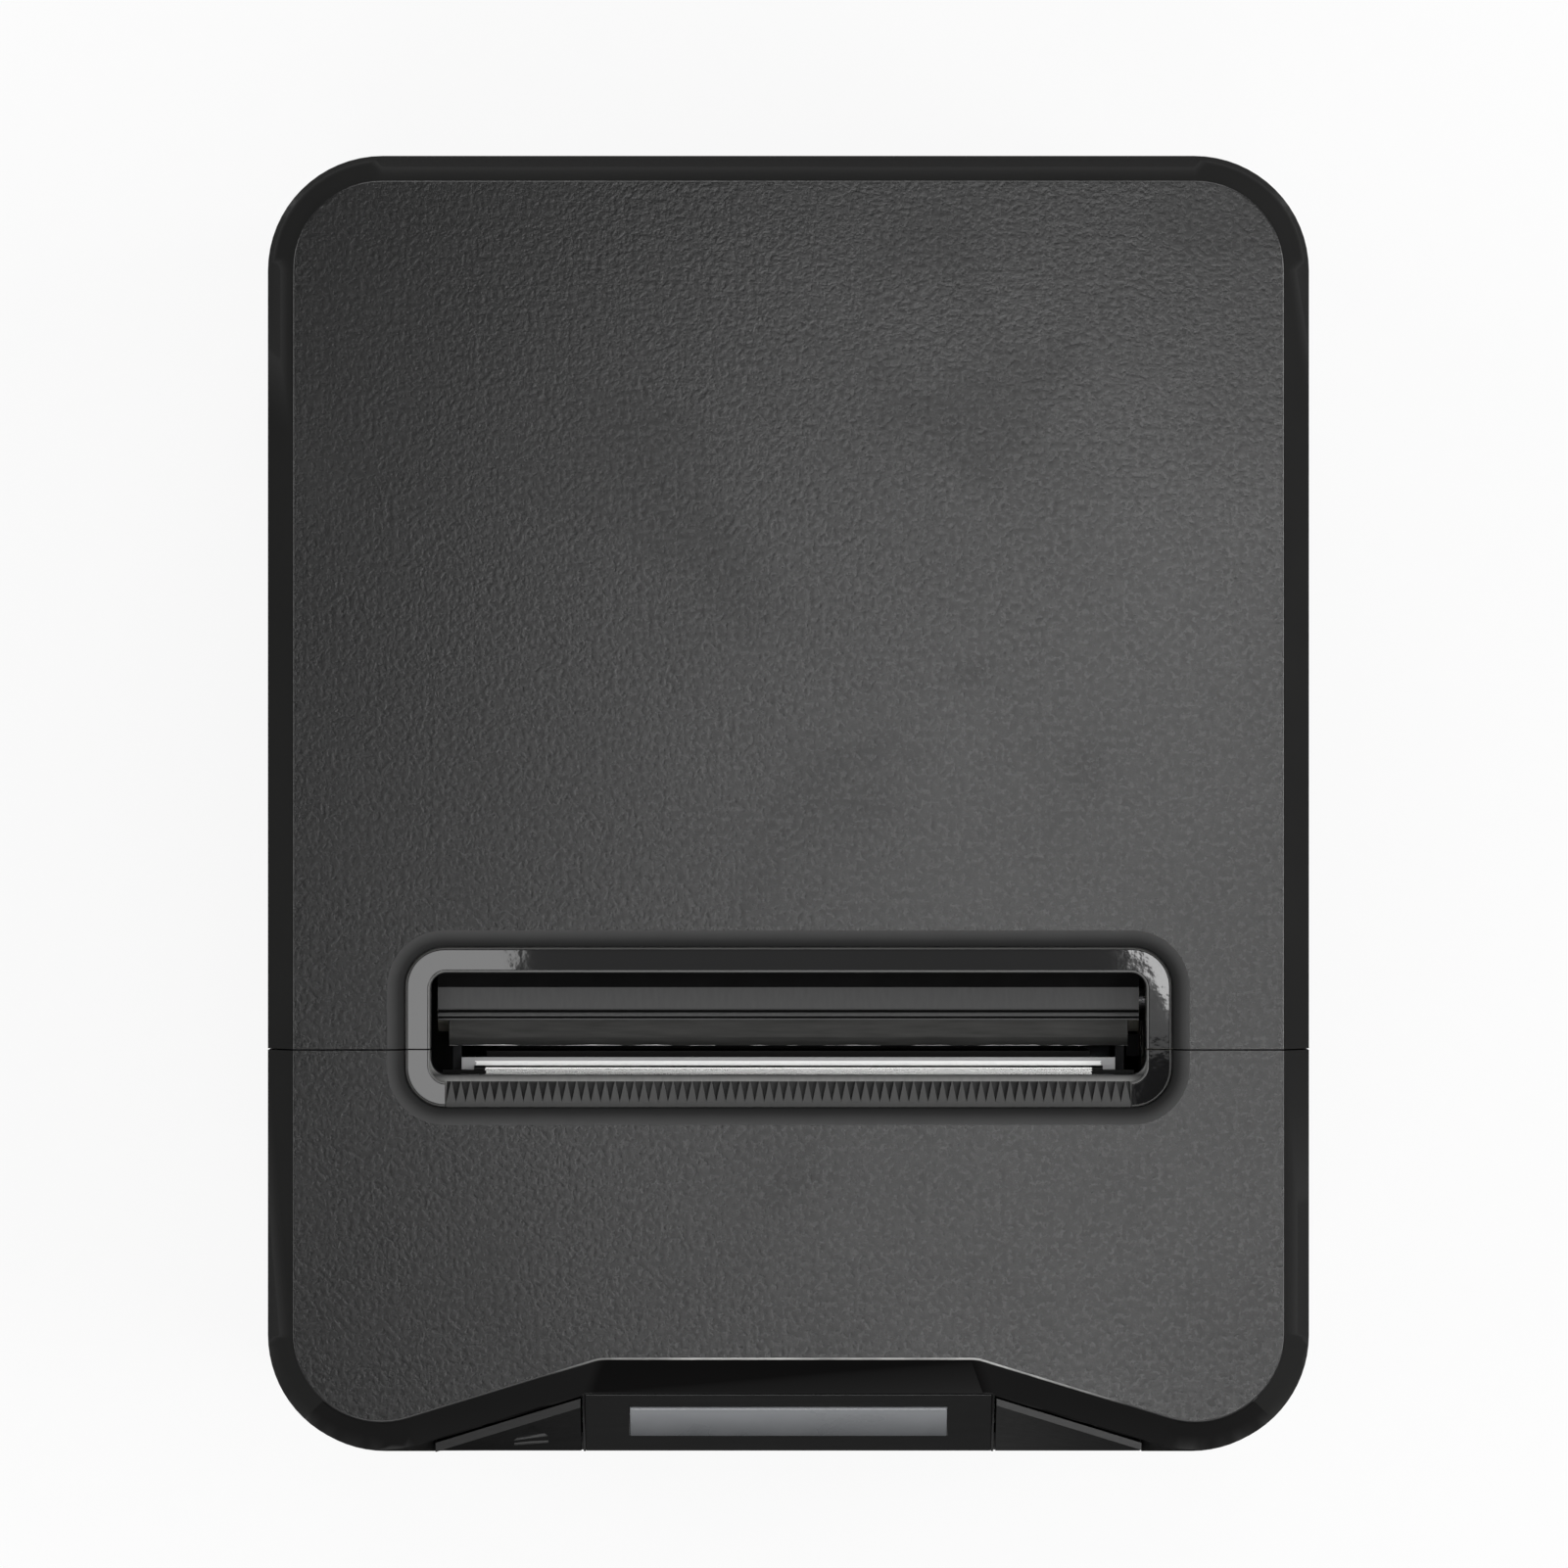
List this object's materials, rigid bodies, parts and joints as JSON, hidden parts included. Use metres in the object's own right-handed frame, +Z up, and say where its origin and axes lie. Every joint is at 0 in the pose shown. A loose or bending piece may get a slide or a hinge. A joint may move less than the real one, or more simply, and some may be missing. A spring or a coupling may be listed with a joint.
{
  "type": "receipt printer",
  "caption": "Desktop thermal receipt printer with a hinged rear lid, serrated paper slot, sunken front console with keys and lamp, and rear sockets.",
  "frame": {"origin": "on the floor under the middle of the case", "axes": "+Z up, -Y is the front with the console, +X is the user's right"},
  "size_m": [0.145, 0.181, 0.132],
  "materials": {
    "black_matte": "fine spark-eroded grain, black moulded plastic",
    "black_gloss": "polished black moulded plastic",
    "lamp_lens": "frosted translucent grey",
    "steel": "ground and rolled steel",
    "zinc_sheet": "zinc-plated sheet",
    "rubber": "ground black rubber",
    "aluminium": "extruded",
    "head_ceramic": "glazed substrate",
    "gear_plastic": "natural acetal",
    "brass": "turned",
    "board": "green solder mask",
    "socket_plastic": "black moulded plastic"
  },
  "bodies": {
    "base": {"front_cover": "black_matte", "main_housing": "black_matte", "base_tray": "black_matte", "tear_bar": "black_matte", "paper_bin": "black_matte", "slot_rim_front": "black_gloss", "console_panel": "black_gloss", "status_lamp": "lamp_lens", "blade_guard": "steel", "cutter_frame": "steel", "hinge_rod": "steel", "head_pivot_pin": "steel", "idler_stud": "steel", "rocker_pin": "steel", "head_springs": "steel", "frame_screws": "steel", "base_screws": "steel", "mech_frame": "zinc_sheet", "frame_posts": "zinc_sheet", "feed_motor": "zinc_sheet", "cutter_motor": "zinc_sheet", "connector_plate": "zinc_sheet", "usb_socket": "zinc_sheet", "rubber_feet": "rubber", "main_board": "board", "console_board": "board", "drawer_socket": "socket_plastic", "power_socket": "socket_plastic", "rocker_case": "socket_plastic", "feed_switch": "socket_plastic"},
    "lid": {"lid_shell": "black_matte", "slot_rim_rear": "black_gloss", "lid_frame": "black_matte", "fixed_blade": "steel", "blade_screws": "steel", "platen_bushings": "gear_plastic"},
    "platen": {"platen_roller": "rubber", "platen_shaft": "steel", "platen_gear": "gear_plastic"},
    "idler": {"idler_gear": "gear_plastic"},
    "feed_rotor": {"motor_pinion": "brass", "motor_spindle": "steel"},
    "head": {"thermal_head": "head_ceramic", "head_heatsink": "aluminium"},
    "cutter_blade": {"moving_blade": "steel", "blade_racks": "gear_plastic"},
    "cutter_drive": {"cutter_shaft": "steel", "cutter_pinions": "gear_plastic", "cutter_gear": "gear_plastic"},
    "cutter_rotor": {"cutter_pinion": "brass", "cutter_spindle": "steel"},
    "feed_button": {"feed_key": "black_matte", "switch_plunger": "socket_plastic"},
    "release_button": {"release_key": "black_matte"},
    "latch": {"latch_lever": "zinc_sheet"},
    "rocker": {"power_rocker": "socket_plastic"}
  },
  "joints": [
    {"name": "lid_hinge", "type": "hinge", "parent": "base", "child": "lid", "pos_m": [0, 0.0815, 0.096], "axis": [-1, 0, 0], "range_deg": [0, 75]},
    {"name": "platen_spin", "type": "hinge", "parent": "lid", "child": "platen", "pos_m": [0, -0.0275, 0.104], "axis": [1, 0, 0], "continuous": true},
    {"name": "idler_spin", "type": "hinge", "parent": "base", "child": "idler", "pos_m": [0.05265, -0.0275, 0.084], "axis": [1, 0, 0], "continuous": true},
    {"name": "feed_motor_spin", "type": "hinge", "parent": "base", "child": "feed_rotor", "pos_m": [0.05, -0.03938, 0.07212], "axis": [1, 0, 0], "continuous": true},
    {"name": "head_rock", "type": "hinge", "parent": "base", "child": "head", "pos_m": [0, -0.0391, 0.0925], "axis": [1, 0, 0], "range_deg": [0, 2.5], "stiffness_Nm_per_rad": 3, "springref_deg": -2.86, "deforming": ["head_springs"]},
    {"name": "cutter_slide", "type": "slide", "parent": "base", "child": "cutter_blade", "axis": [0, 1, 0], "range_m": [0, 0.007]},
    {"name": "cutter_turn", "type": "hinge", "parent": "base", "child": "cutter_drive", "pos_m": [0, -0.0565, 0.11113], "axis": [-1, 0, 0], "range_deg": [0, 101]},
    {"name": "cutter_motor_turn", "type": "hinge", "parent": "base", "child": "cutter_rotor", "pos_m": [-0.05, -0.06787, 0.10104], "axis": [1, 0, 0], "range_deg": [0, 282]},
    {"name": "feed_press", "type": "slide", "parent": "base", "child": "feed_button", "axis": [0, 0, -1], "range_m": [0, 0.0008], "stiffness_N_per_m": 500, "springref_m": -0.002},
    {"name": "release_press", "type": "slide", "parent": "base", "child": "release_button", "axis": [0, 0, -1], "range_m": [0, 0.0015], "stiffness_N_per_m": 600, "springref_m": -0.003},
    {"name": "latch_turn", "type": "hinge", "parent": "base", "child": "latch", "pos_m": [0.0486, -0.059, 0.092], "axis": [1, 0, 0], "range_deg": [0, 3.5]},
    {"name": "power_rock", "type": "hinge", "parent": "base", "child": "rocker", "pos_m": [-0.038, 0.0809, 0.0206], "axis": [-1, 0, 0], "range_deg": [0, 20]}
  ],
  "couplings": [
    {"joint": "idler_spin", "follows": "platen_spin", "ratio": -0.66667},
    {"joint": "feed_motor_spin", "follows": "platen_spin", "ratio": 1.6667},
    {"joint": "cutter_turn", "follows": "cutter_slide", "rad_per_m": 250},
    {"joint": "cutter_motor_turn", "follows": "cutter_slide", "rad_per_m": 700},
    {"joint": "latch_turn", "follows": "release_press", "rad_per_m": 38.9}
  ]
}
